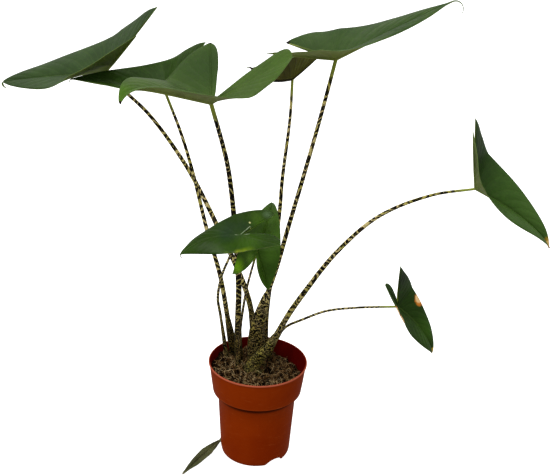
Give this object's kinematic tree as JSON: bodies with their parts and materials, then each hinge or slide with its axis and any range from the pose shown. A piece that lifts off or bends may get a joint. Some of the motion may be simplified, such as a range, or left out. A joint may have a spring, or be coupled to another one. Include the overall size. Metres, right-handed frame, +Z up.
{
  "type": "potted alocasia plant",
  "caption": "Arrow-leaved alocasia with dark-banded stalks, standing in a round plastic nursery pot filled with soil.",
  "frame": {"origin": "centre of the pot's flat underside, on the surface it stands on", "axes": "+Z up, the long spread of the leaves along X, and the side that the picture shows facing -Y"},
  "size_m": [0.7481, 0.3704, 0.6668],
  "materials": {
    "pot": "satin brick-orange moulded plastic",
    "soil": "dark peat with straw-coloured fibres",
    "stalk": "cream-green stalk with dark brown bands",
    "blade": "satin mid-green leaf, paler beneath",
    "withered": "dull olive-brown old leaf"
  },
  "bodies": {
    "root": {"pot": "pot", "soil": "soil", "leaf_1_stalk": "stalk", "leaf_1_blade": "blade", "leaf_2_stalk": "stalk", "leaf_2_blade": "blade", "leaf_3_stalk": "stalk", "leaf_3_blade": "blade", "leaf_4_stalk": "stalk", "leaf_4_blade": "blade", "leaf_5_stalk": "stalk", "leaf_5_blade": "blade", "leaf_6_stalk": "stalk", "leaf_6_blade": "blade", "leaf_7_stalk": "stalk", "leaf_7_blade": "blade", "leaf_8_stalk": "stalk", "leaf_8_blade": "blade", "leaf_9_stalk": "stalk", "leaf_9_blade": "blade", "leaf_10_stalk": "withered", "leaf_10_blade": "withered"}
  },
  "joints": []
}
